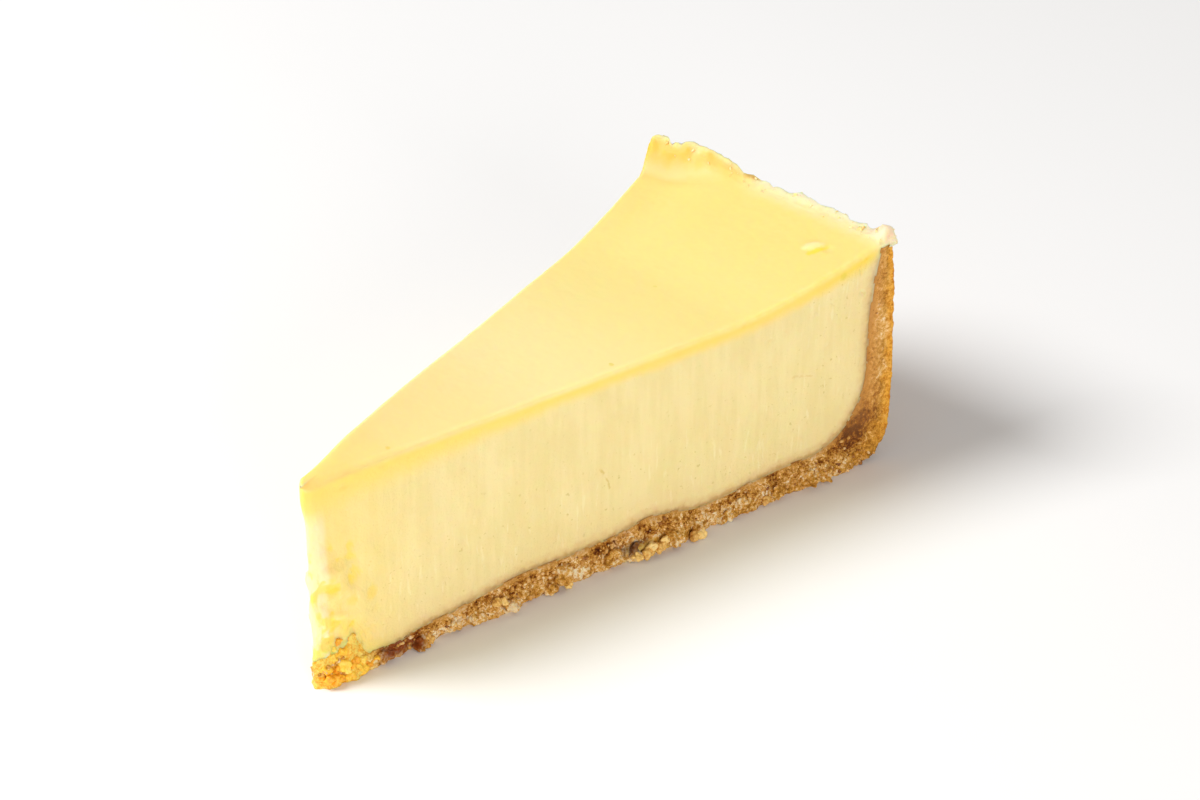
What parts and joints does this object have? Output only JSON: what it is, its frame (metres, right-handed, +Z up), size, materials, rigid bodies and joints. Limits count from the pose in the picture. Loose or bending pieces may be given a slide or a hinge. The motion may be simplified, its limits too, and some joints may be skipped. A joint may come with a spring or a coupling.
{
  "type": "cheesecake slice",
  "caption": "Wedge of baked cheesecake with a smooth yellow top, a pale creamy filling with torn raised edge, and a pressed crumb crust under it and up its rounded rim.",
  "frame": {"origin": "on the surface the slice rests on, under the middle of the bounding box", "axes": "+X from the tip to the rim along the slice's middle line, +Y towards the far cut face, +Z up"},
  "size_m": [0.1258, 0.0562, 0.0489],
  "materials": {
    "crumb_crust": "baked biscuit crumbs, grainy and matt on the cuts, smoother and caramel brown on the tin side",
    "cheese_filling": "baked cream cheese, dense and satin, cream on the cuts with a lemon yellow skin on top"
  },
  "bodies": {
    "root": {"crumb_crust": "crumb_crust", "cheese_filling": "cheese_filling"}
  },
  "joints": []
}
